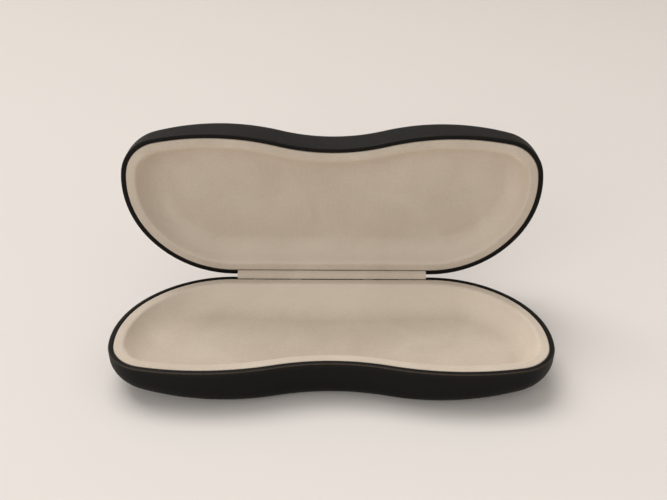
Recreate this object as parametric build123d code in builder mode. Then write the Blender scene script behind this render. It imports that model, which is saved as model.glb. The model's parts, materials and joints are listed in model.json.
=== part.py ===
from build123d import *
from math import cos, radians, sin, sqrt, tan
import os

os.makedirs("parts", exist_ok=True)

# Hard clam-shell eyeglasses case, standing open.  Each half is a drawn steel shell wrapped in
# leatherette, with a cloth-covered liner tray inside.  Two short pin hinges and a bowed strip
# of spring steel join the halves.  A strip of leatherette outside, and one of lining cloth
# inside, hide the hinge line.
#
# Millimetres.  +X runs along the case, -Y is the front and +Z is up.  The origin is on the
# surface that the case stands on, under the middle of its plan.

# ---- Plan of the outside: arcs from the middle of the front edge round to the hinge edge
waist_radius = 85.0
waist_sweep = 14.1
front_radius = 111.0
front_sweep = 25.4
corner_radius = 17.3
corner_sweep = 68.6
flank_radius = 39.0
flank_sweep = 48.0
back_radius = 43.5
back_sweep = 180 + waist_sweep - front_sweep - corner_sweep - flank_sweep

# ---- Depth of the halves and the shape of their backs
base_depth = 16.5
lid_depth = 17.5
edge_radius = 6.5
crown_flat = 18.0
crown_radius = 330.0

# ---- Largest share of a thickness that a rounded edge takes up
round_share = 0.9

# ---- How the halves meet and stand
rim_gap = 0.3
open_angle = 90.0
axis_offset = 0.5

# ---- Wall, from the outside in
cover_thickness = 0.6
shell_thickness = 0.55
glue_film = 0.05
turned_depth = 3.2
rim_round = 0.5

# ---- Liners: a thin formed tray with cloth bonded to it
lip_width = 3.6
lip_drop = 0.1
lip_round = 1.3
lip_edge_round = 0.5
tray_thickness = 0.5
tray_clearance = 0.1
lining_thickness = 0.7
wall_lean = 20.0
cavity_radius = 8.0
floor_radius = 560.0
pad_thickness = 1.5
pad_margin = 0.3
lid_air_gap = 6.5

# ---- Hinges
hinge_spacing = 46.0
hinge_width = 20.0
end_knuckle = 4.6
knuckle_gap = 0.25
knuckle_radius = 1.5
pin_radius = 0.75
pin_clearance = 0.05
pin_end_play = 0.1
pin_head_radius = 1.1
pin_head_length = 0.4
leaf_thickness = 0.6
leaf_drop = 8.0
notch_clearance = 0.3

# ---- Rivets that hold the leaves to the shells
rivet_radius = 1.0
rivet_clearance = 0.05
rivet_head_radius = 1.8
rivet_head_height = 0.7
rivet_head_round = 0.4
rivet_spacing = 11.0
rivet_drop = 5.2

# ---- Snap spring between the hinges
spring_width = 14.0
spring_thickness = 0.3
spring_clearance = 0.05
spring_drop = 8.5
slot_clearance = 0.1

# ---- Strips over the hinge line
strip_margin = 1.5
cover_strip_thickness = 0.45
cover_strip_drop = 6.0
cover_strip_clearance = 0.2
lining_strip_thickness = 0.4
lining_strip_clearance = 0.07


def half_plan(start_y, inset):
    """Draws the right half of the plan in the active line and returns its last arc."""
    waist = JernArc((0, start_y + inset), (1, 0), waist_radius + inset, -waist_sweep)
    front = JernArc(waist @ 1, waist % 1, front_radius - inset, front_sweep)
    corner = JernArc(front @ 1, front % 1, corner_radius - inset, corner_sweep)
    flank = JernArc(corner @ 1, corner % 1, flank_radius - inset, flank_sweep)
    return JernArc(flank @ 1, flank % 1, back_radius - inset, back_sweep)


# The plan is centred on the origin, front to back.
with BuildLine() as trial:
    last_arc = half_plan(0, 0)
plan_box = trial.line.bounding_box()
plan_start = -(plan_box.min.Y + plan_box.max.Y) / 2
half_length = plan_box.max.X
back_face = plan_box.max.Y + plan_start
hinge_edge_half = (last_arc @ 1).X

# ---- Planes of the two rims: x along the case, y towards the hinge, z out of the mouth
hinge_y = back_face + axis_offset
hinge_z = base_depth + rim_gap / 2
hinge_point = Vector(0, hinge_y, hinge_z)
closed_mouth = Vector(0, 0, base_depth + rim_gap)
lid_mouth = hinge_point + (closed_mouth - hinge_point).rotate(Axis.X, -open_angle)
lid_facing = Vector(0, 0, -1).rotate(Axis.X, -open_angle)
base_rim = Plane((0, 0, base_depth))
lid_rim = Plane(lid_mouth, x_dir=(-1, 0, 0), z_dir=lid_facing)
halves = (("base", base_rim, base_depth), ("lid", lid_rim, lid_depth))

# ---- Insets of the wall's surfaces from the outside of the case
shell_out = cover_thickness + glue_film
shell_in = shell_out + shell_thickness
turned_out = shell_in + glue_film
turned_in = turned_out + cover_thickness
leaf_in = turned_out + leaf_thickness
wall_in = max(turned_in, leaf_in) + glue_film
lip_out = wall_in - glue_film + tray_clearance
lip_in = lip_out + lip_width

# ---- Depths below the rim, in the middle of each half
shell_top = cover_thickness + glue_film
flange_top = lip_drop + lining_thickness + glue_film
pad_bottom = base_depth - shell_in - glue_film
base_tray_bottom = pad_bottom - pad_thickness - glue_film
lid_tray_bottom = lid_depth - shell_in - lid_air_gap

# ---- Liner walls, which lean out from their floors: how far a lean and its rounding reach
lean_reach = tan(radians(wall_lean))
round_reach = tan(radians(45 - wall_lean / 2))
tray_front = lining_thickness + glue_film
tray_back = tray_front + tray_thickness
tray_foot = lip_in + (base_tray_bottom - lip_drop) * lean_reach - tray_back / cos(radians(wall_lean))
pad_inset = tray_foot + (cavity_radius + tray_back) * round_reach + pad_margin

# ---- Hinge line
hinge_places = {"left": -hinge_spacing / 2, "right": hinge_spacing / 2}
middle_knuckle = hinge_width - 2 * (end_knuckle + knuckle_gap)
end_knuckle_place = (hinge_width - end_knuckle) / 2
bore_radius = pin_radius + pin_clearance
pin_half_length = hinge_width / 2 + pin_end_play
notch_width = 2 * (pin_half_length + pin_head_length + notch_clearance)
notch_depth = knuckle_radius - rim_gap / 2 + notch_clearance
spring_notch_width = spring_width + 2 * notch_clearance
rivet_places = [
    (place + offset, rivet_drop)
    for place in hinge_places.values()
    for offset in (-rivet_spacing / 2, rivet_spacing / 2)
]
strip_half = hinge_edge_half - strip_margin
far = 4 * half_length


def section_of(rim, place=0.0):
    """Plane across the case: x towards the hinge, y out of the mouth, from the rim's middle."""
    return Plane(rim.origin + Vector(place, 0, 0), x_dir=rim.y_dir, z_dir=rim.x_dir)


def hinge_wall(rim, inset):
    """Plane of the hinge wall at an inset: x along the case, y down from the rim."""
    return Plane(rim.origin + rim.y_dir * (back_face - inset), x_dir=rim.x_dir, z_dir=rim.y_dir)


def plan_outline(inset):
    """Adds the plan, set in from the outside, to the active sketch."""
    with BuildLine() as outline:
        last = half_plan(plan_start, inset)
        Line(last @ 1, (0, (last @ 1).Y))
        mirror(about=Plane.YZ)
    make_face(outline.edges())


def bowl(rim, bottom, inset, radius, top=0.0, crown=None, flat=0.0, lean=0.0):
    """Solid that fills a half from its mouth down to one surface of a wall or a liner.

    The bottom is flat, or curves up towards the ends from a flat middle when its crown's
    radius is given. The sides are upright, or lean out by an angle.
    """
    reach = half_length - inset - flat
    rise = crown - sqrt(crown**2 - reach**2) if crown else 0
    with BuildPart() as form:
        with BuildSketch(rim.offset(-top)):
            plan_outline(inset)
        extrude(amount=-(bottom - top), taper=lean)
        if crown:
            with BuildSketch(Plane(rim.origin, x_dir=rim.x_dir, z_dir=-rim.y_dir)):
                with Locations((-flat, crown - bottom), (flat, crown - bottom)):
                    Circle(crown)
                if flat:
                    with Locations((0, crown - bottom)):
                        Rectangle(2 * flat, 2 * crown)
            extrude(amount=far, both=True, mode=Mode.INTERSECT)
        if radius > 0:
            mouth = form.faces().sort_by(Axis(rim.origin, rim.z_dir))[-1].edges()
            straight = form.edges().filter_by(GeomType.LINE)
            seams = straight - straight.filter_by(Axis(rim.origin, rim.x_dir))
            kept = mouth + seams
            room = round_share * (bottom - rise - top)
            round_limit = room / (tan(radians(45 - lean / 2)) * cos(radians(lean)))
            fillet(form.edges().filter_by(lambda edge: edge not in kept), min(radius, round_limit))
    return form.part


def wall_surface(rim, depth, inset, top=0.0):
    """Solid inside one surface of the outer wall, which is as thick at the bottom as round it."""
    crown = crown_radius - inset
    return bowl(rim, depth - inset, inset, edge_radius - inset, top, crown, crown_flat)


def liner_surface(rim, bottom, behind, top, curved):
    """Solid inside one surface of a liner, some way behind the cloth's face all over."""
    inset = lip_in + (top - lip_drop) * lean_reach - behind / cos(radians(wall_lean))
    crown = floor_radius + behind if curved else None
    return bowl(rim, bottom + behind, inset, cavity_radius + behind, top, crown, 0, wall_lean)


def hinge_cut(rim, place, width, depth, from_inset):
    """Block that cuts the hinge wall from the rim down, from one inset through to the inside."""
    with BuildPart() as cut:
        with BuildSketch(section_of(rim, place)):
            with Locations((back_face - (from_inset + wall_in) / 2, 0)):
                Rectangle(wall_in - from_inset, 2 * depth)
        extrude(amount=width / 2, both=True)
    return cut.part


def hinge_band(inner, outer, start, end):
    """Adds a sector about the hinge axis, between two angles, to the active sketch."""
    with BuildLine() as edge:
        inside = CenterArc((0, 0), inner, start, end - start)
        outside = CenterArc((0, 0), outer, start, end - start)
        Line(inside @ 0, outside @ 0)
        Line(inside @ 1, outside @ 1)
    make_face(edge.edges())


# The mirror plane of the open case: it holds the hinge axis and halves the opening.
inner_middle = 180 - open_angle / 2
outer_middle = 360 - open_angle / 2
middle_tilt = radians(inner_middle)
mid_plane = Plane((0, 0, 0), z_dir=(-sin(middle_tilt), cos(middle_tilt), 0))
hinge_section = Plane(hinge_point, x_dir=(0, 1, 0), z_dir=(1, 0, 0))


def finish(sub_part, name):
    """Labels a finished sub-part and writes it."""
    sub_part.part.label = name
    export_step(sub_part.part, f"parts/{name}.step")


# ---- Covers: leatherette over the outside, wrapped over the steel's edge and turned in
for half, rim, depth in halves:
    outside = wall_surface(rim, depth, 0)
    under = wall_surface(rim, depth, cover_thickness, cover_thickness)
    turned_outside = wall_surface(rim, depth, turned_out)
    turned_inside = wall_surface(rim, depth, turned_in)
    cuts = [hinge_cut(rim, 0, spring_notch_width, turned_depth + glue_film, shell_in)]
    for place in hinge_places.values():
        cuts.append(hinge_cut(rim, place, notch_width, notch_depth, -glue_film))
        cuts.append(hinge_cut(rim, place, notch_width, leaf_drop, shell_in))
    with BuildPart() as turned_edge:
        with BuildSketch(rim.offset(-turned_depth)):
            Rectangle(far, far)
        extrude(amount=turned_depth)
        add(turned_outside, mode=Mode.INTERSECT)
        add(turned_inside, mode=Mode.SUBTRACT)
    with BuildPart() as cover:
        add(outside)
        with BuildSketch(rim):
            plan_outline(turned_in)
        extrude(amount=-cover_thickness, mode=Mode.SUBTRACT)
        add(under, mode=Mode.SUBTRACT)
        mouth = cover.faces().sort_by(Axis(rim.origin, rim.z_dir))[-1]
        fillet(mouth.outer_wire().edges(), min(rim_round, round_share * cover_thickness))
        add(turned_edge.part)
        add(cuts, mode=Mode.SUBTRACT)
    finish(cover, f"{half}_cover")

# ---- Shells: drawn steel, notched for the hinge barrels, pierced for rivets and spring
for half, rim, depth in halves:
    outside = wall_surface(rim, depth, shell_out, shell_top)
    inside = wall_surface(rim, depth, shell_in, shell_top)
    cuts = [hinge_cut(rim, place, notch_width, notch_depth, 0) for place in hinge_places.values()]
    with BuildPart() as shell:
        add(outside)
        add(inside, mode=Mode.SUBTRACT)
        add(cuts, mode=Mode.SUBTRACT)
        with BuildSketch(hinge_wall(rim, 0)):
            with Locations(*rivet_places):
                Circle(rivet_radius + rivet_clearance)
            with Locations((0, spring_drop - spring_thickness / 2)):
                Rectangle(spring_width + 2 * slot_clearance, spring_thickness + 2 * slot_clearance)
        extrude(amount=-wall_in, mode=Mode.SUBTRACT)
    finish(shell, f"{half}_shell")

# ---- Foam pad under the base's liner
pad_crown = crown_radius - (base_depth - pad_bottom)
pad_under = bowl(base_rim, pad_bottom, pad_inset, 0, crown=pad_crown, flat=crown_flat)
pad_over = bowl(
    base_rim,
    pad_bottom - pad_thickness,
    pad_inset - pad_margin,
    0,
    crown=pad_crown - pad_thickness,
    flat=crown_flat,
)
with BuildPart() as base_foam_pad:
    add(pad_under)
    add(pad_over, mode=Mode.SUBTRACT)
finish(base_foam_pad, "base_foam_pad")

# ---- Liner trays, which hang by their flanges, and the cloth bonded over them
liners = (
    ("base", base_rim, base_tray_bottom, True),
    ("lid", lid_rim, lid_tray_bottom, False),
)
for half, rim, bottom, curved in liners:
    cavity_bottom = bottom - tray_back
    back = liner_surface(rim, cavity_bottom, tray_back, flange_top, curved)
    front = liner_surface(rim, cavity_bottom, tray_front, flange_top, curved)
    with BuildPart() as liner_tray:
        with BuildSketch(rim.offset(-flange_top)):
            plan_outline(lip_out)
        extrude(amount=-tray_thickness)
        add(back)
        add(front, mode=Mode.SUBTRACT)
    finish(liner_tray, f"{half}_liner_tray")

    cloth = liner_surface(rim, cavity_bottom, lining_thickness, lip_drop, curved)
    cavity = liner_surface(rim, cavity_bottom, 0, lip_drop, curved)
    with BuildPart() as lining:
        with BuildSketch(rim.offset(-lip_drop)):
            plan_outline(lip_out)
        extrude(amount=-lining_thickness)
        add(cloth)
        add(cavity, mode=Mode.SUBTRACT)
        lip = lining.faces().sort_by(Axis(rim.origin, rim.z_dir))[-1]
        fillet(lip.inner_wires()[0].edges(), lip_round)
        lip = lining.faces().sort_by(Axis(rim.origin, rim.z_dir))[-1]
        fillet(lip.outer_wire().edges(), min(lip_edge_round, round_share * lining_thickness))
    finish(lining, f"{half}_lining")

# ---- Hinge leaves: a plate down the inside of each shell, and the barrels curled from it.
# The base has the two end barrels of each hinge, and the lid has the middle one.
web_level = rim_gap / 2 - knuckle_radius + leaf_thickness / 2
plate_top = web_level + leaf_thickness / 2
knuckles = {
    "base": ((-end_knuckle_place, end_knuckle), (end_knuckle_place, end_knuckle)),
    "lid": ((0, middle_knuckle),),
}
for half, rim, _ in halves:
    for side, place in hinge_places.items():
        with BuildPart() as leaf:
            with BuildSketch(section_of(rim, place)):
                with Locations((back_face - (turned_out + leaf_in) / 2, (plate_top - leaf_drop) / 2)):
                    Rectangle(leaf_thickness, leaf_drop + plate_top)
            extrude(amount=hinge_width / 2, both=True)
            for along, width in knuckles[half]:
                with BuildSketch(section_of(rim, place + along)):
                    with Locations((hinge_y, rim_gap / 2)):
                        Circle(knuckle_radius)
                    with Locations((back_face + (axis_offset - leaf_in) / 2, web_level)):
                        Rectangle(axis_offset + leaf_in, leaf_thickness)
                    with Locations((hinge_y, rim_gap / 2)):
                        Circle(bore_radius, mode=Mode.SUBTRACT)
                extrude(amount=width / 2, both=True)
            with BuildSketch(hinge_wall(rim, 0)):
                with Locations(*rivet_places):
                    Circle(rivet_radius + rivet_clearance)
            extrude(amount=-wall_in, mode=Mode.SUBTRACT)
        finish(leaf, f"{side}_{half}_leaf")

# ---- Hinge pins, headed at both ends
for side, place in hinge_places.items():
    pin_middle = hinge_point + Vector(place, 0, 0)
    with BuildPart() as hinge_pin:
        with BuildSketch(Plane(pin_middle, x_dir=(0, 1, 0), z_dir=(1, 0, 0))):
            Circle(pin_radius)
        extrude(amount=pin_half_length, both=True)
        for end in (-1, 1):
            shoulder = pin_middle + Vector(end * pin_half_length, 0, 0)
            with BuildSketch(Plane(shoulder, x_dir=(0, 1, 0), z_dir=(end, 0, 0))):
                Circle(pin_head_radius)
            extrude(amount=pin_head_length)
    finish(hinge_pin, f"{side}_hinge_pin")

# ---- Rivets, flush with the steel outside and domed over the leaves inside
for half, rim, _ in halves:
    with BuildPart() as leaf_rivets:
        with BuildSketch(hinge_wall(rim, shell_out)):
            with Locations(*rivet_places):
                Circle(rivet_radius)
        extrude(amount=-(leaf_in + glue_film - shell_out))
        with BuildSketch(hinge_wall(rim, leaf_in + glue_film)):
            with Locations(*rivet_places):
                Circle(rivet_head_radius)
        extrude(amount=-rivet_head_height)
        domes = leaf_rivets.faces().sort_by(Axis(rim.origin, rim.y_dir))[: len(rivet_places)]
        fillet(domes.edges(), rivet_head_round)
    finish(leaf_rivets, f"{half}_leaf_rivets")

# ---- Snap spring: a steel strip bent over the hinge line, with its ends hooked in the shells
spring_in = axis_offset + turned_out + spring_clearance
spring_out = spring_in + spring_thickness
with BuildPart() as snap_spring:
    with BuildSketch(hinge_section):
        hinge_band(spring_in, spring_out, inner_middle, 180)
        leg_length = spring_drop + rim_gap / 2
        with Locations((-(spring_in + spring_out) / 2, -leg_length / 2)):
            Rectangle(spring_thickness, leg_length)
        hook_end = axis_offset + shell_out
        with Locations((-(hook_end + spring_out) / 2, spring_thickness / 2 - leg_length)):
            Rectangle(spring_out - hook_end, spring_thickness)
        mirror(about=mid_plane)
    extrude(amount=spring_width / 2, both=True)
finish(snap_spring, "snap_spring")

# ---- Outer hinge strip: leatherette glued to both covers, bowed round the barrels
bow_in = knuckle_radius + cover_strip_clearance
bow_out = bow_in + cover_strip_thickness
strip_face = glue_film - axis_offset
with BuildPart() as hinge_cover_strip:
    with BuildSketch(hinge_section):
        hinge_band(bow_in, bow_out, 180, outer_middle)
        with Locations((strip_face, 0)):
            Rectangle(far, far, align=(Align.MAX, Align.CENTER), mode=Mode.SUBTRACT)
        with Locations((strip_face, -bow_in)):
            Rectangle(
                cover_strip_thickness, cover_strip_drop - bow_in, align=(Align.MIN, Align.MAX)
            )
        mirror(about=mid_plane)
    extrude(amount=strip_half, both=True)
finish(hinge_cover_strip, "hinge_cover_strip")

# ---- Inner hinge strip: lining cloth from lip to lip over the spring and the barrels
cloth_in = spring_out + lining_strip_clearance
with BuildPart() as hinge_lining_strip:
    with BuildSketch(hinge_section):
        hinge_band(cloth_in, cloth_in + lining_strip_thickness, inner_middle, 180)
        mirror(about=mid_plane)
    extrude(amount=strip_half, both=True)
finish(hinge_lining_strip, "hinge_lining_strip")
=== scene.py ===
import json
from math import asin, cos, pi, radians, sin, sqrt, tan

import bmesh
import bpy
from mathutils import Matrix, Vector, noise


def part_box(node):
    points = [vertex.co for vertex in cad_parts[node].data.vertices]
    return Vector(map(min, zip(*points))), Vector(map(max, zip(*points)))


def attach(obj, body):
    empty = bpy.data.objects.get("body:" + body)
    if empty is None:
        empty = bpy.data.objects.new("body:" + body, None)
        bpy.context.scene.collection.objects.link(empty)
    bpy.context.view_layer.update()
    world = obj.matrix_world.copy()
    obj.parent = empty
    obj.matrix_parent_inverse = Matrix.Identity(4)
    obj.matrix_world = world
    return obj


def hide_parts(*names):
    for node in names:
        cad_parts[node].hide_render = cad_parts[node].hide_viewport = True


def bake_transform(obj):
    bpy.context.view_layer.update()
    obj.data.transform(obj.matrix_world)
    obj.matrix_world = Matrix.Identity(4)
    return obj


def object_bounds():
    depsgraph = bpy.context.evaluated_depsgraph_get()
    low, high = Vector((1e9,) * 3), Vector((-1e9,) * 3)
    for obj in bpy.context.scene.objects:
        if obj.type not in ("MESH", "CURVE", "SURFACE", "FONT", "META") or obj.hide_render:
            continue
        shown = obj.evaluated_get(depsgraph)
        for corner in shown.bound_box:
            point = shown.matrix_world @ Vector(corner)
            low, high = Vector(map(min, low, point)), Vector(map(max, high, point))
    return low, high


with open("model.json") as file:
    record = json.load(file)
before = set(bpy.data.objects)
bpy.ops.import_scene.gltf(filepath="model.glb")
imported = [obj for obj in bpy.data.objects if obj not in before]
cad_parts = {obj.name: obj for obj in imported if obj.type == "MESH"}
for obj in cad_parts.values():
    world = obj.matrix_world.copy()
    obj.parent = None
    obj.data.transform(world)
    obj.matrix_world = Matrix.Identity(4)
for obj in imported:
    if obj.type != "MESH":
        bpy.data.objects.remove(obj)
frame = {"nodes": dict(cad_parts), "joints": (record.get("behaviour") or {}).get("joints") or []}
cad_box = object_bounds()

# ---- Covers ---------------------------------------------------------------------------------
# Black leatherette, 0.6 mm thick, stretched wet over each drawn steel half, pulled over the
# steel's edge at the rim and turned in behind it, where the liner's lip hides the cut edge.
MM = 0.001

# The plan runs from the middle of the front edge round to the middle of the hinge edge, as
# arcs of (radius, turn): a hollow waist, the front, its corner, the flank and the back.
PLAN_ARCS = [(85.0, -14.1), (111.0, 25.4), (17.3, 68.6), (39.0, 48.0), (43.5, 52.1)]
ARC_STEP = 1.2 * MM
CROWN_RADIUS = 330 * MM
CROWN_FLAT = 18 * MM
EDGE_RADIUS = 6.5 * MM
COVER_THICKNESS = 0.6 * MM
SHELL_THICKNESS = 0.55 * MM
GLUE_FILM = 0.05 * MM
TURNED_DEPTH = 3.2 * MM
RIM_ROUND = 0.5 * MM
TURN_ROUND = 0.25 * MM
# Past this inset the rings shrink towards the middle instead of keeping their distance.
DEEP_INSET = 16.3 * MM
# Rings over a bottom, from there to its rounding, along the rounding, and up the wall.
BOTTOM_RINGS, RUN_RINGS, ROUND_RINGS, WALL_RINGS = 14, 2, 12, 5
TURN_RINGS = 5
# Wear along the rim with a painted highlight on its outer shoulder: the share on the wall's last
# ring, then on each ring over the rim, from outside to inside.
WALL_TOP_WEAR_AND_HIGHLIGHT = 0.1
RIM_WEAR_AND_HIGHLIGHT = (0.4, 1.0, 0.7, 0.25, 0.05)
# The lid's share of that wear and painted highlight.
LID_WEAR_AND_HIGHLIGHT_SHARE = 0.3

base_low, base_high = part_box("base_cover")
lid_low, lid_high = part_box("lid_cover")
BACK_FACE = base_high.y
BASE_DEPTH = base_high.z - base_low.z
LID_DEPTH = lid_high.y - lid_low.y


def base_place(x, y, depth):
    """Point of the base, from its place in the plan and its depth below the rim."""
    return Vector((x, y, base_high.z - depth))


def lid_place(x, y, depth):
    """The same for the lid, which stands on its hinge edge with its mouth to the front."""
    return Vector((-x, lid_low.y + depth, lid_low.z + BACK_FACE - y))


def plan_points():
    """Points of the whole outline, each with its outward normal."""
    x, y, heading = 0.0, 0.0, 0.0
    right = []
    for radius, turn in PLAN_ARCS:
        radius, turn = radius * MM, radians(turn)
        side = 1 if turn > 0 else -1
        centre = (x - side * radius * sin(heading), y + side * radius * cos(heading))
        steps = max(4, round(radius * abs(turn) / ARC_STEP))
        for step in range(steps):
            angle = heading + turn * step / steps
            point_x = centre[0] + side * radius * sin(angle)
            point_y = centre[1] - side * radius * cos(angle)
            right.append((point_x, point_y, angle))
        heading += turn
        x, y = centre[0] + side * radius * sin(heading), centre[1] - side * radius * cos(heading)
    steps = round(x / ARC_STEP)
    right += [(x * (1 - step / steps), y, heading) for step in range(steps + 1)]
    shift = BACK_FACE - y
    right = [(px, py + shift, sin(angle), -cos(angle)) for px, py, angle in right]
    left = [(-px, py, -nx, ny) for px, py, nx, ny in reversed(right[1:-1])]
    return right + left


PLAN = plan_points()


def rise_at(x, radius, flat):
    """How far a crowned bottom has come up at a distance from the middle."""
    reach = max(0.0, abs(x) - flat)
    return radius - sqrt(radius**2 - reach**2)


def bowl_section(bottom, inset, radius, top, crowned, lean=0.0):
    """Half section of one surface, from the middle of its bottom out and up to its mouth.

    The inset is the wall's at the rim, and lean is the wall's angle from upright. Each entry
    is (shrink, inset, depth, share of the crown's rise).
    """
    share = 1.0 if crowned else 0.0
    rows = [(step / BOTTOM_RINGS, DEEP_INSET, bottom, share) for step in range(1, BOTTOM_RINGS + 1)]
    floor_edge = inset + bottom * tan(lean) + radius * tan(pi / 4 - lean / 2)
    for step in range(1, RUN_RINGS + 1):
        run = (floor_edge - DEEP_INSET) * step / (RUN_RINGS + 1)
        rows.append((1, DEEP_INSET + run, bottom, share))
    for step in range(ROUND_RINGS + 1):
        angle = (pi / 2 - lean) * step / ROUND_RINGS
        depth = bottom - radius * (1 - cos(angle))
        rows.append((1, floor_edge - radius * sin(angle), depth, share))
    for step in range(1, WALL_RINGS + 1):
        level = depth + (top - depth) * step / WALL_RINGS
        rows.append((1, inset + level * tan(lean), level, share * (1 - step / WALL_RINGS)))
    return rows


def add_object(name, data):
    """New object in the scene."""
    made = bpy.data.objects.new(name, data)
    bpy.context.scene.collection.objects.link(made)
    return made


def ring_mesh(name, rows, place, crown=(CROWN_RADIUS, CROWN_FLAT), lean=0.0, relief=None, marks=None):
    """Mesh of closed rings round the plan, one for each row, closed at both ends.

    crown is the radius and the flat middle of a crowned bottom, and lean is the walls' angle.
    relief moves a point: it takes the row's number and the point. marks gives each row a value
    that the finish reads: wear and a painted highlight on a cover's rim, painted light on a
    lining's walls.
    """
    mesh = bpy.data.meshes.new(name)
    made = bmesh.new()
    mark = made.verts.layers.float.new("mark")
    rings = []
    for number, (shrink, inset, depth, share) in enumerate(rows):
        ring = []
        for px, py, nx, ny in PLAN:
            rise = share * rise_at((px - nx * inset) * shrink, *crown)
            set_in = inset - rise * tan(lean)
            x, y = (px - nx * set_in) * shrink, (py - ny * set_in) * shrink
            sink = depth - rise
            if relief:
                sink += relief(number, x, y)
            vertex = made.verts.new(place(x, y, sink))
            vertex[mark] = marks[number] if marks else 0.0
            ring.append(vertex)
        rings.append(ring)
    for inner, outer in zip(rings, rings[1:]):
        for here in range(len(PLAN)):
            after = (here + 1) % len(PLAN)
            made.faces.new((inner[here], inner[after], outer[after], outer[here]))
    for ring, turned in ((rings[0], True), (rings[-1], False)):
        middle = made.verts.new(sum((v.co for v in ring), Vector()) / len(ring))
        for here in range(len(PLAN)):
            after = (here + 1) % len(PLAN)
            pair = (ring[after], ring[here]) if turned else (ring[here], ring[after])
            made.faces.new((*pair, middle))
    bmesh.ops.recalc_face_normals(made, faces=made.faces)
    made.to_mesh(mesh)
    made.free()
    mesh.shade_smooth()
    return add_object(name, mesh)


def cut_boxes(piece, boxes):
    """Cuts boxes, each given by its eight corners, out of a piece."""
    cutter_mesh = bpy.data.meshes.new("cutter")
    made = bmesh.new()
    for corners in boxes:
        bmesh.ops.convex_hull(made, input=[made.verts.new(c) for c in corners])
    made.to_mesh(cutter_mesh)
    made.free()
    cutter = add_object("cutter", cutter_mesh)
    boolean = piece.modifiers.new("cut", "BOOLEAN")
    boolean.object = cutter
    boolean.solver = "EXACT"
    bpy.context.view_layer.update()
    uncut = piece.data
    ready = piece.evaluated_get(bpy.context.evaluated_depsgraph_get())
    piece.data = bpy.data.meshes.new_from_object(ready)
    piece.modifiers.clear()
    piece.data.name = uncut.name
    bpy.data.meshes.remove(uncut)
    bpy.data.objects.remove(cutter)


def box_corners(place, x_range, y_range, depth_range):
    """The eight corners of a box given in a half's plan and its depth."""
    return [place(x, y, depth) for x in x_range for y in y_range for depth in depth_range]


class Shade:
    """A value in a material's node tree. Python's operators on it add Math nodes."""

    def __init__(self, tree, socket=None):
        self.tree = tree
        self.socket = socket

    def node(self, kind, settings, inputs, output=0):
        """Adds a node: its settings first, then the values or links of its sockets."""
        made = self.tree.nodes.new("ShaderNode" + kind)
        for name, value in settings.items():
            setattr(made, name, value)
        for name, value in inputs.items():
            if isinstance(value, Shade):
                self.tree.links.new(value.socket, made.inputs[name])
            else:
                made.inputs[name].default_value = value
        return Shade(self.tree, made.outputs[output])

    def feeds(self, socket):
        """Links this value to a shader's socket."""
        self.tree.links.new(self.socket, socket)

    def maths(self, operation, first, second):
        return self.node("Math", {"operation": operation}, {0: first, 1: second})

    def __add__(self, other):
        return self.maths("ADD", self, other)

    def __radd__(self, other):
        return self.maths("ADD", other, self)

    def __sub__(self, other):
        return self.maths("SUBTRACT", self, other)

    def __rsub__(self, other):
        return self.maths("SUBTRACT", other, self)

    def __mul__(self, other):
        return self.maths("MULTIPLY", self, other)

    def __rmul__(self, other):
        return self.maths("MULTIPLY", other, self)


def srgb(red, green, blue):
    """Linear colour, with alpha, of a colour given in 0 to 255."""
    parts = [c / 255 for c in (red, green, blue)]
    return [c / 12.92 if c <= 0.04045 else ((c + 0.055) / 1.055) ** 2.4 for c in parts] + [1.0]


def new_material(name, **constants):
    """Material with a Principled shader; the constants go on the shader's own sockets."""
    material = bpy.data.materials.new(name)
    material.use_nodes = True
    shader = material.node_tree.nodes["Principled BSDF"]
    for socket, value in constants.items():
        shader.inputs[socket.replace("_", " ")].default_value = value
    return material, shader, Shade(material.node_tree)


def mix_colours(shade, factor, first, second):
    """Mixed colour. The Mix node's colour sockets share names with others, so they go by number."""
    return shade.node(
        "Mix",
        {"data_type": "RGBA", "clamp_factor": True},
        {"Factor": factor, 6: first, 7: second},
        output=2,
    )


def leatherette_material():
    """Matte black coated cloth: pebbled grain, finer pores, and wear along the rim that carries a
    painted highlight on its outer shoulder.
    """
    material, shader, shade = new_material(
        "leatherette", Specular_IOR_Level=0.13, Sheen_Weight=0.02, Sheen_Roughness=0.45
    )
    where = shade.node("TexCoord", {}, {}, output="Object")
    pebbles = shade.node(
        "TexVoronoi",
        {"feature": "SMOOTH_F1"},
        {"Vector": where, "Scale": 1500.0, "Smoothness": 0.6, "Randomness": 1.0},
    )
    pores = shade.node(
        "TexNoise", {}, {"Vector": where, "Scale": 3800.0, "Detail": 3.0, "Roughness": 0.6}
    )
    patches = shade.node(
        "TexNoise", {}, {"Vector": where, "Scale": 60.0, "Detail": 3.0, "Roughness": 0.55}
    )
    wear_and_highlight = shade.node("Attribute", {"attribute_name": "mark"}, {}, output="Fac")
    broken = shade.node(
        "TexNoise", {}, {"Vector": where, "Scale": 420.0, "Detail": 4.0, "Roughness": 0.7}
    )
    worn_and_highlit = wear_and_highlight * (0.35 + 0.9 * broken)
    black = mix_colours(shade, patches, srgb(10, 9, 8), srgb(15, 14, 12))
    # Painted highlight: the rim's outer shoulder is painted paler, along with its real wear.
    rubbed_and_highlit = mix_colours(shade, worn_and_highlit, black, srgb(74, 64, 54))
    rubbed_and_highlit.feeds(shader.inputs["Base Color"])
    (0.5 + 0.14 * patches - 0.1 * worn_and_highlit).feeds(shader.inputs["Roughness"])
    height = 0.7 * pebbles + 0.3 * pores
    bump = shade.node("Bump", {}, {"Strength": 0.5, "Distance": 0.00006, "Height": height})
    bump.feeds(shader.inputs["Normal"])
    return material


LEATHERETTE = leatherette_material()
TURNED_OUT = COVER_THICKNESS + GLUE_FILM + SHELL_THICKNESS + GLUE_FILM
TURNED_IN = TURNED_OUT + COVER_THICKNESS
WALL_IN = TURNED_IN + GLUE_FILM


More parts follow.
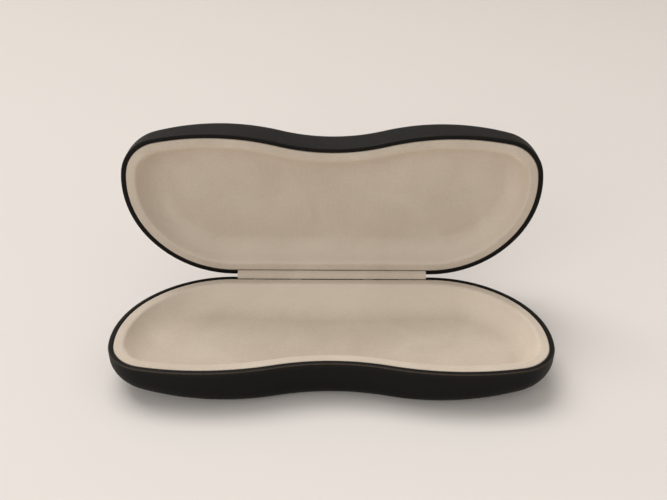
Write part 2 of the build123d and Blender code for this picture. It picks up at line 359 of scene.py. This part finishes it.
def cover_section(depth):
    """Closed section of a cover and how much wear and painted highlight each row gets: most on the
    rim's outer shoulder.
    """
    rows = bowl_section(depth, 0.0, EDGE_RADIUS, RIM_ROUND, True)
    marks = [0.0] * len(rows)
    marks[-1] = WALL_TOP_WEAR_AND_HIGHLIGHT
    for step, wear_and_highlight in enumerate(RIM_WEAR_AND_HIGHLIGHT, 1):
        angle = pi / 2 * step / len(RIM_WEAR_AND_HIGHLIGHT)
        rows.append((1, RIM_ROUND * (1 - cos(angle)), RIM_ROUND * (1 - sin(angle)), 0))
        marks.append(wear_and_highlight)
    for step in range(TURN_RINGS + 1):
        angle = pi / 2 * step / TURN_RINGS
        rows.append((1, TURNED_IN - TURN_ROUND * (1 - sin(angle)), TURN_ROUND * (1 - cos(angle)), 0))
    turned = TURNED_DEPTH - TURN_ROUND
    rows += [(1, TURNED_IN, TURN_ROUND + (turned - TURN_ROUND) * step / 3, 0) for step in (1, 2, 3)]
    rows.append((1, TURNED_IN - TURN_ROUND, TURNED_DEPTH, 0))
    rows.append((1, TURNED_OUT, TURNED_DEPTH, 0))
    rows.append((1, TURNED_OUT, COVER_THICKNESS, 0))
    inside = bowl_section(
        depth - COVER_THICKNESS,
        COVER_THICKNESS,
        EDGE_RADIUS - COVER_THICKNESS,
        COVER_THICKNESS,
        True,
    )
    rows += reversed(inside)
    marks += [0.0] * (len(rows) - len(marks))
    return rows, marks


def hinge_notches(place):
    """Boxes that clear the barrels through the wall, and the leaves and spring behind it."""
    clearance = 0.3 * MM
    barrel_depth = 1.65 * MM
    inner_depth = TURNED_DEPTH + GLUE_FILM
    shell_in = TURNED_OUT - GLUE_FILM
    boxes = []
    for node, through in (("left_hinge_pin", 1), ("right_hinge_pin", 1), ("snap_spring", 0)):
        low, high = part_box(node)
        across = (low.x - clearance, high.x + clearance)
        inner = (BACK_FACE - WALL_IN, BACK_FACE - shell_in)
        boxes.append(box_corners(place, across, inner, (-inner_depth, inner_depth)))
        if through:
            wall = (BACK_FACE - WALL_IN, BACK_FACE + GLUE_FILM)
            boxes.append(box_corners(place, across, wall, (-barrel_depth, barrel_depth)))
    return boxes


for body, place, depth in (("base", base_place, BASE_DEPTH), ("lid", lid_place, LID_DEPTH)):
    rows, marks = cover_section(depth)
    if body == "lid":
        marks = [LID_WEAR_AND_HIGHLIGHT_SHARE * mark for mark in marks]
    cover = ring_mesh(f"{body}_leatherette", rows, place, marks=marks)
    for notch in hinge_notches(place):
        cut_boxes(cover, [notch])
    cover.data.materials.append(LEATHERETTE)
    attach(cover, body)
    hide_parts(f"{body}_cover")

# ---- Shells ---------------------------------------------------------------------------------
# Two halves drawn from 0.55 mm steel sheet. They give the case its stiffness and take the
# rivets and the snap spring's hooks. Bright inside, with the fine lines of the drawing.


def steel_material(name, colour, roughness, line_scale):
    """Rolled or drawn steel: fine lines along the case and a faint oil haze."""
    material, shader, shade = new_material(name, Metallic=1.0)
    where = shade.node("TexCoord", {}, {}, output="Object")
    drawn = shade.node("Mapping", {}, {"Vector": where, "Scale": (0.08, 1.0, 1.0)})
    lines = shade.node("TexNoise", {}, {"Vector": drawn, "Scale": line_scale, "Detail": 4.0})
    haze = shade.node("TexNoise", {}, {"Vector": where, "Scale": 90.0, "Detail": 3.0})
    darker = [0.8 * c for c in colour[:3]] + [1.0]
    mix_colours(shade, lines, darker, colour).feeds(shader.inputs["Base Color"])
    (roughness - 0.08 + 0.1 * lines + 0.1 * haze).feeds(shader.inputs["Roughness"])
    bump = shade.node("Bump", {}, {"Strength": 0.3, "Distance": 0.00002, "Height": lines})
    bump.feeds(shader.inputs["Normal"])
    return material


def dress(material, *nodes):
    """Gives CAD nodes a finish."""
    for node in nodes:
        mesh = frame["nodes"][node].data
        mesh.materials.clear()
        mesh.materials.append(material)


dress(steel_material("drawn_steel", srgb(190, 190, 188), 0.38, 2600.0), "base_shell", "lid_shell")

# ---- Liner trays ----------------------------------------------------------------------------
# Thin beige plastic, vacuum-formed. Each hangs by its flange just under the rim and carries
# the cloth. Slightly glossy on the outside, with a faint ripple from the forming.


def tray_material():
    """Thin formed plastic: a low gloss and a slow ripple."""
    material, shader, shade = new_material("tray_plastic")
    where = shade.node("TexCoord", {}, {}, output="Object")
    ripple = shade.node("TexNoise", {}, {"Vector": where, "Scale": 130.0, "Detail": 2.0})
    colour = mix_colours(shade, ripple, srgb(186, 172, 154), srgb(200, 186, 168))
    colour.feeds(shader.inputs["Base Color"])
    (0.42 + 0.12 * ripple).feeds(shader.inputs["Roughness"])
    bump = shade.node("Bump", {}, {"Strength": 0.25, "Distance": 0.0002, "Height": ripple})
    bump.feeds(shader.inputs["Normal"])
    return material


dress(tray_material(), "base_liner_tray", "lid_liner_tray")

# ---- Linings --------------------------------------------------------------------------------
# Beige flocked cloth, bonded over each tray and pressed into it hot: a flat lip round the
# cavity, walls that run down in a soft curve, and a floor. Its outer edge meets the rim.
LIP_DROP = 0.1 * MM
LIP_WIDTH = 3.6 * MM
LIP_ROUND = 1.3 * MM
LIP_EDGE_ROUND = 0.5 * MM
LINING_THICKNESS = 0.7 * MM
CAVITY_RADIUS = 8.0 * MM
FLOOR_RADIUS = 560 * MM
WALL_LEAN = radians(20)
RIM_GAP = 0.1 * MM
LIP_OUT = WALL_IN - GLUE_FILM + RIM_GAP
LIP_IN = LIP_OUT + LIP_WIDTH
LIP_ROUND_RINGS, LIP_RINGS, LIP_EDGE_RINGS = 8, 4, 5
# How far the cloth's surface wanders, and over what distance.
PLUSH = 0.05 * MM
PLUSH_SPREAD = 16 * MM


def lining_material():
    """Short dense flock: soft nap lying in drifts, tiny tufts and a pale bloom at grazing light; its
    walls are painted paler, as painted light.
    """
    material, shader, shade = new_material(
        "lining_cloth",
        Specular_IOR_Level=0.1,
        Sheen_Weight=1.0,
        Sheen_Roughness=0.4,
        Sheen_Tint=srgb(244, 232, 216),
    )
    where = shade.node("TexCoord", {}, {}, output="Object")
    drift = shade.node(
        "TexNoise", {}, {"Vector": where, "Scale": 55.0, "Detail": 4.0, "Distortion": 0.6}
    )
    nap = shade.node(
        "TexNoise", {}, {"Vector": where, "Scale": 900.0, "Detail": 4.0, "Roughness": 0.65}
    )
    tufts = shade.node(
        "TexNoise", {}, {"Vector": where, "Scale": 5200.0, "Detail": 2.0, "Roughness": 0.7}
    )
    tone = 0.45 * drift + 0.35 * nap + 0.2 * tufts
    spread = shade.node(
        "MapRange", {}, {"Value": tone, "From Min": 0.3, "From Max": 0.7, "To Min": 0.0, "To Max": 1.0}
    )
    flock = mix_colours(shade, spread, srgb(184, 170, 154), srgb(204, 192, 177))
    # Painted light: the walls and their rounding are painted paler, where they catch the light.
    painted_wall_light = shade.node("Attribute", {"attribute_name": "mark"}, {}, output="Fac")
    cloth = mix_colours(shade, 0.42 * painted_wall_light, flock, srgb(228, 217, 203))
    cloth.feeds(shader.inputs["Base Color"])
    (0.86 + 0.12 * nap).feeds(shader.inputs["Roughness"])
    height = 0.5 * nap + 0.5 * tufts
    bump = shade.node("Bump", {}, {"Strength": 0.35, "Distance": 0.00012, "Height": height})
    bump.feeds(shader.inputs["Normal"])
    return material


LINING_CLOTH = lining_material()


def lining_section(bottom, crowned):
    """Closed section of a lining, how many of its rows show, and how much painted light each row gets.
    """
    at_rim = LIP_IN - LIP_DROP * tan(WALL_LEAN)
    round_reach = LIP_ROUND * tan(pi / 4 - WALL_LEAN / 2)
    rounded = LIP_DROP + round_reach * cos(WALL_LEAN)
    rows = bowl_section(bottom, at_rim, CAVITY_RADIUS, rounded, crowned, WALL_LEAN)
    flat_in, flat_out = LIP_IN - round_reach, LIP_OUT + LIP_EDGE_ROUND
    for step in range(1, LIP_ROUND_RINGS + 1):
        angle = (pi / 2 - WALL_LEAN) * (1 - step / LIP_ROUND_RINGS)
        rows.append((1, flat_in + LIP_ROUND * sin(angle), LIP_DROP + LIP_ROUND * (1 - cos(angle)), 0))
    for step in range(1, LIP_RINGS + 1):
        rows.append((1, flat_in + (flat_out - flat_in) * step / LIP_RINGS, LIP_DROP, 0))
    for step in range(1, LIP_EDGE_RINGS + 1):
        angle = pi / 2 * step / LIP_EDGE_RINGS
        drop = LIP_DROP + LIP_EDGE_ROUND * (1 - cos(angle))
        rows.append((1, flat_out - LIP_EDGE_ROUND * sin(angle), drop, 0))
    shown = len(rows)
    under_lip = LIP_DROP + LINING_THICKNESS
    rows.append((1, LIP_OUT, under_lip, 0))
    under = bowl_section(
        bottom + LINING_THICKNESS,
        at_rim - LINING_THICKNESS / cos(WALL_LEAN),
        CAVITY_RADIUS + LINING_THICKNESS,
        under_lip,
        crowned,
        WALL_LEAN,
    )
    # Painted light: none on the floor, rising over its rounding to full on the walls, then fading over
    # the lip's rounding.
    painted_light_rows = [0.0] * (BOTTOM_RINGS + RUN_RINGS)
    painted_light_rows += [step / ROUND_RINGS for step in range(ROUND_RINGS + 1)] + [1.0] * WALL_RINGS
    painted_light_rows += [1 - step / LIP_ROUND_RINGS for step in range(1, LIP_ROUND_RINGS + 1)]
    painted_light_rows += [0.0] * (len(rows) + len(under) - len(painted_light_rows))
    return rows + list(reversed(under)), shown, painted_light_rows


def lining_relief(shown, seed):
    """The cloth's slight unevenness, where it shows."""

    def relief(number, x, y):
        if number >= shown:
            return 0.0
        point = Vector((x, y, 0)) / PLUSH_SPREAD + Vector((seed, 0, 0))
        return PLUSH * noise.noise(point)

    return relief


linings = (
    ("base", base_place, base_high.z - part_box("base_lining")[0].z, True, 0.0),
    ("lid", lid_place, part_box("lid_lining")[1].y - lid_low.y, False, 7.3),
)
for body, place, depth, crowned, seed in linings:
    rows, shown, painted_light_rows = lining_section(depth - LINING_THICKNESS, crowned)
    lining = ring_mesh(
        f"{body}_flocked_lining",
        rows,
        place,
        crown=(FLOOR_RADIUS, 0.0),
        lean=WALL_LEAN,
        relief=lining_relief(shown, seed),
        marks=painted_light_rows,
    )
    lining.data.materials.append(LINING_CLOTH)
    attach(lining, body)
    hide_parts(f"{body}_lining")

# ---- Foam pad -------------------------------------------------------------------------------
# Soft open-cell foam, 1.5 mm thick, die-cut and laid between the base's shell and its tray. It
# fills the room there and keeps the tray from rattling.


def foam_material():
    """Open cells that show on the cut faces."""
    material, shader, shade = new_material("open_cell_foam", Specular_IOR_Level=0.2)
    where = shade.node("TexCoord", {}, {}, output="Object")
    cells = shade.node("TexVoronoi", {}, {"Vector": where, "Scale": 1700.0})
    colour = mix_colours(shade, cells, srgb(214, 210, 200), srgb(236, 233, 226))
    colour.feeds(shader.inputs["Base Color"])
    (0.85 + 0.1 * cells).feeds(shader.inputs["Roughness"])
    bump = shade.node("Bump", {}, {"Strength": 0.8, "Distance": 0.0003, "Height": cells})
    bump.feeds(shader.inputs["Normal"])
    return material


pad_low, pad_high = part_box("base_foam_pad")
PAD_THICKNESS = 1.5 * MM
PAD_INSET = cad_box[1].x - pad_high.x
PAD_ROUND = 0.3 * MM
PAD_SHOULDER = 0.1 * MM


def pad_section():
    """Closed section of the pad, with its cut edge slightly rounded."""
    under = base_high.z - pad_low.z
    over = under - PAD_THICKNESS
    shares = [step / BOTTOM_RINGS for step in range(1, BOTTOM_RINGS)]
    edge = (
        (PAD_ROUND, over),
        (PAD_SHOULDER, over + PAD_SHOULDER),
        (0.0, over + PAD_ROUND),
        (0.0, under - PAD_ROUND),
        (PAD_SHOULDER, under - PAD_SHOULDER),
        (PAD_ROUND, under),
    )
    rows = [(share, PAD_INSET, over, 1) for share in shares]
    rows += [(1, PAD_INSET + set_in, depth, 1) for set_in, depth in edge]
    return rows + [(1 - share, PAD_INSET, under, 1) for share in shares]


pad = ring_mesh("cut_foam_pad", pad_section(), base_place)
pad.data.materials.append(foam_material())
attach(pad, "base")
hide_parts("base_foam_pad")

# ---- Hinges ---------------------------------------------------------------------------------
# Two short butt hinges of bright pressed steel, their leaves inside the hinge walls. Headed
# steel pins turn in the rolled barrels, and aluminium rivets are set flush through the shells.
LEAF_STEEL = steel_material("hinge_steel", srgb(205, 205, 202), 0.3, 3200.0)
leaves = [f"{side}_{half}_leaf" for side in ("left", "right") for half in ("base", "lid")]
dress(LEAF_STEEL, *leaves, "left_hinge_pin", "right_hinge_pin")
RIVET_METAL = steel_material("rivet_aluminium", srgb(222, 222, 224), 0.34, 5200.0)
dress(RIVET_METAL, "base_leaf_rivets", "lid_leaf_rivets")

# ---- Snap spring ----------------------------------------------------------------------------
# A strip of blued spring steel between the hinges, hooked into a slot in each shell. It bends
# as the lid turns and snaps it open or shut.
joint = frame["joints"][0]
HINGE = Vector(joint["pos_m"])
OPEN_MIDDLE = radians(135)
SHARP_ANGLE = radians(50)


def strip_mesh(name, path, thicknesses, half_width, columns, sag=None):
    """Band of varying thickness, swept along the case. path is its centre line, in (y, z).

    sag moves a column's point along the line's normal.
    """
    mesh = bpy.data.meshes.new(name)
    made = bmesh.new()
    normals = []
    for number in range(len(path)):
        before = path[max(0, number - 1)]
        after = path[min(len(path) - 1, number + 1)]
        along = Vector((after[0] - before[0], after[1] - before[1])).normalized()
        normals.append(Vector((-along.y, along.x)))
    loops = []
    for column in range(columns + 1):
        x = half_width * (2 * column / columns - 1)
        near, far = [], []
        for point, normal, thickness in zip(path, normals, thicknesses):
            push = sag(x, len(near) / (len(path) - 1)) if sag else 0.0
            for side, row in ((0.5, near), (-0.5, far)):
                spot = Vector(point) + normal * (push + side * thickness)
                row.append(made.verts.new((x, spot.x, spot.y)))
        loops.append(near + far[::-1])
    size = len(loops[0])
    for first, second in zip(loops, loops[1:]):
        for here in range(size):
            after = (here + 1) % size
            made.faces.new((first[here], first[after], second[after], second[here]))
    for loop in (loops[0], loops[-1]):
        for here in range(len(path) - 1):
            made.faces.new((loop[here], loop[here + 1], loop[size - 2 - here], loop[size - 1 - here]))
    bmesh.ops.recalc_face_normals(made, faces=made.faces)
    for edge in made.edges:
        edge.smooth = len(edge.link_faces) == 2 and edge.calc_face_angle(0) < SHARP_ANGLE
    made.to_mesh(mesh)
    made.free()
    mesh.shade_smooth()
    return add_object(name, mesh)


def mirrored(half_path):
    """A path and its image in the plane that halves the open case's right angle."""
    slope = Vector((cos(OPEN_MIDDLE), sin(OPEN_MIDDLE)))
    centre = Vector((HINGE.y, HINGE.z))
    image = []
    for point in reversed(half_path):
        arm = Vector(point) - centre
        turned = 2 * slope * arm.dot(slope) - arm
        image.append(tuple(centre + turned))
    return half_path + image


def turned_point(radius, angle):
    """Place in (y, z), at an angle round the hinge's axis."""
    return (HINGE.y + radius * cos(angle), HINGE.z + radius * sin(angle))


spring_low, spring_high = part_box("snap_spring")
SPRING_THICKNESS = 0.3 * MM
SPRING_RADIUS = 1.95 * MM
HOOK_REACH = HINGE.y - SPRING_RADIUS
HOOK_TIP_DEPTH = 0.65 * MM
HOOK_BEND = 0.2 * MM
LEG_STEPS = 6
BEND_STEP_DEGREES = 7.5
hook_end = spring_low.z + SPRING_THICKNESS / 2
leg_rise = HINGE.z - hook_end
spring_path = [(BACK_FACE - HOOK_TIP_DEPTH, hook_end), (HOOK_REACH + HOOK_BEND, hook_end)]
spring_path += [(HOOK_REACH, hook_end + HOOK_BEND)]
spring_path += [(HOOK_REACH, hook_end + leg_rise * step / LEG_STEPS) for step in range(1, LEG_STEPS)]
spring_path += [
    turned_point(SPRING_RADIUS, radians(180 - BEND_STEP_DEGREES * step)) for step in range(6)
]
spring_path = mirrored(spring_path)
spring = strip_mesh(
    "snap_spring_strip",
    spring_path,
    [SPRING_THICKNESS] * len(spring_path),
    spring_high.x,
    16,
)
spring.data.materials.append(steel_material("blued_spring_steel", srgb(120, 124, 138), 0.28, 2200.0))
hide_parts("snap_spring")
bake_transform(spring)

# ---- Hinge strips ---------------------------------------------------------------------------
# Outside, a strip of the same leatherette, skived thin at its long edges, is glued to both
# covers and bows round the barrels. Inside, a strip of lining cloth closes the gap.
strip_low, strip_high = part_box("hinge_cover_strip")
STRIP_THICKNESS = 0.45 * MM
SKIVED = 0.18 * MM
SKIVED_STEPS = 3
BOW_RADIUS = 1.925 * MM
BOW_STEPS = 12
FOOT_STEPS = 8
BUCKLE = 0.05 * MM
BUCKLE_SPREAD = 9 * MM
leg_y = BACK_FACE + GLUE_FILM + STRIP_THICKNESS / 2
meets = asin((HINGE.y - leg_y) / BOW_RADIUS)
bow_foot = HINGE.z - BOW_RADIUS * cos(meets)
strip_path = [
    (leg_y, strip_low.z + (bow_foot - strip_low.z) * step / FOOT_STEPS) for step in range(FOOT_STEPS)
]
bow_turn = pi / 4 + meets
strip_path += [
    turned_point(BOW_RADIUS, 1.5 * pi - meets + bow_turn * step / BOW_STEPS)
    for step in range(BOW_STEPS)
]
strip_path = mirrored(strip_path)
last = len(strip_path) - 1
strip_thickness = [
    min(STRIP_THICKNESS, SKIVED + (STRIP_THICKNESS - SKIVED) * min(n, last - n) / SKIVED_STEPS)
    for n in range(last + 1)
]


def strip_sag(x, along):
    """The bow isn't quite even along the case, because the leatherette buckles a little."""
    bow = sin(pi * along) ** 6
    return bow * BUCKLE * noise.noise(Vector((x / BUCKLE_SPREAD, 3.1, 0)))


cover_strip = strip_mesh(
    "outer_hinge_strip", strip_path, strip_thickness, strip_high.x, 90, sag=strip_sag
)
cover_strip.data.materials.append(LEATHERETTE)
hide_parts("hinge_cover_strip")
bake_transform(cover_strip)

cloth_low, cloth_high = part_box("hinge_lining_strip")
CLOTH_THICKNESS = 0.4 * MM
CLOTH_RADIUS = HINGE.y - cloth_low.y - CLOTH_THICKNESS / 2
CLOTH_STEPS = 18
cloth_path = [
    turned_point(CLOTH_RADIUS, radians(180 - 90 * step / CLOTH_STEPS))
    for step in range(CLOTH_STEPS + 1)
]
cloth_thickness = [CLOTH_THICKNESS] * len(cloth_path)
cloth_strip = strip_mesh("inner_hinge_strip", cloth_path, cloth_thickness, cloth_high.x, 60)
cloth_strip.data.materials.append(LINING_CLOTH)
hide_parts("hinge_lining_strip")
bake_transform(cloth_strip)

# ---- Floor, lamps and camera ----------------------------------------------------------------
# A warm pale table top that runs back into an even backdrop, with painted shade that darkens it to the
# back and the right, one large soft lamp high to the left and behind, a weaker and lower one to the
# left in front, and an even surround.


def backdrop_material():
    """Matte card with painted shade: a little deeper in tone to the back and to the right."""
    material, shader, shade = new_material("backdrop", Roughness=0.8, Specular_IOR_Level=0.1)
    where = shade.node("TexCoord", {}, {}, output="Object")
    to_right = shade.node("SeparateXYZ", {}, {"Vector": where}, output="X")
    to_back = shade.node("SeparateXYZ", {}, {"Vector": where}, output="Y")
    # Painted shade: darker to the back and to the right, where the lamps' light falls off.
    tone = 0.2 * to_right + 0.55 * to_back + 0.1
    card = mix_colours(shade, tone, srgb(220, 215, 210), srgb(203, 195, 189))
    card.feeds(shader.inputs["Base Color"])
    return material


def backdrop():
    """Floor that curves up into a wall, far behind."""
    mesh = bpy.data.meshes.new("backdrop")
    made = bmesh.new()
    bend, back, width, front, height = 0.5, 0.9, 4.0, -2.0, 2.0
    bend_steps = 16
    line = [(front, 0.0), (back, 0.0)]
    for step in range(1, bend_steps + 1):
        angle = pi / 2 * step / bend_steps
        line.append((back + bend * sin(angle), bend * (1 - cos(angle))))
    line.append((back + bend, height))
    rows = [[made.verts.new((x, y, z)) for x in (-width, width)] for y, z in line]
    for low, high in zip(rows, rows[1:]):
        made.faces.new((low[0], low[1], high[1], high[0]))
    made.to_mesh(mesh)
    made.free()
    mesh.shade_smooth()
    mesh.materials.append(backdrop_material())
    return add_object("backdrop", mesh)


backdrop()
LAMP_AIM = Vector((0, 0, 0.03))


def area_lamp(name, place, size, watts, colour):
    """Soft rectangular lamp, turned to the case."""
    lamp = bpy.data.lights.new(name, "AREA")
    lamp.shape = "RECTANGLE"
    lamp.size, lamp.size_y = size
    lamp.energy = watts
    lamp.color = colour
    holder = add_object(name, lamp)
    holder.location = place
    holder.rotation_euler = (LAMP_AIM - Vector(place)).to_track_quat("-Z", "Y").to_euler()


area_lamp("window", (-0.9, 1.2, 3.0), (2.5, 2.5), 88.0, (1.0, 0.99, 0.975))
area_lamp("fill", (-1.1, -2.1, 1.2), (2.2, 1.6), 24.0, (1.0, 0.985, 0.965))

world = bpy.data.worlds.new("surround")
world.use_nodes = True
surround = world.node_tree.nodes["Background"].inputs
surround["Color"].default_value = (1.0, 0.975, 0.95, 1.0)
surround["Strength"].default_value = 0.5
bpy.context.scene.world = world
bpy.context.scene.view_settings.view_transform = "Standard"

ELEVATION, AZIMUTH, ROLL = radians(31.0), radians(-0.14), radians(0.33)
DISTANCE = 326.07 * MM
AIM = Vector((0, 29.96 * MM, 16.5 * MM))
SIDE_SHIFT, RAISE = 0.72 * MM, 12.24 * MM
SENSOR_WIDTH, LENS_LENGTH = 36.0, 41.65
back = Vector((sin(AZIMUTH) * cos(ELEVATION), -cos(AZIMUTH) * cos(ELEVATION), sin(ELEVATION)))
level = (-back).cross(Vector((0, 0, 1))).normalized()
upright = level.cross(-back)
across = level * cos(ROLL) + upright * sin(ROLL)
up = upright * cos(ROLL) - level * sin(ROLL)
camera = add_object("camera", bpy.data.cameras.new("camera"))
camera.data.sensor_width = SENSOR_WIDTH
camera.data.lens = LENS_LENGTH
camera.data.clip_start = 10 * MM
turned = Matrix((across, up, back)).transposed().to_4x4()
stands_at = AIM + back * DISTANCE + across * SIDE_SHIFT + up * RAISE
camera.matrix_world = Matrix.Translation(stands_at) @ turned
bpy.context.scene.camera = camera
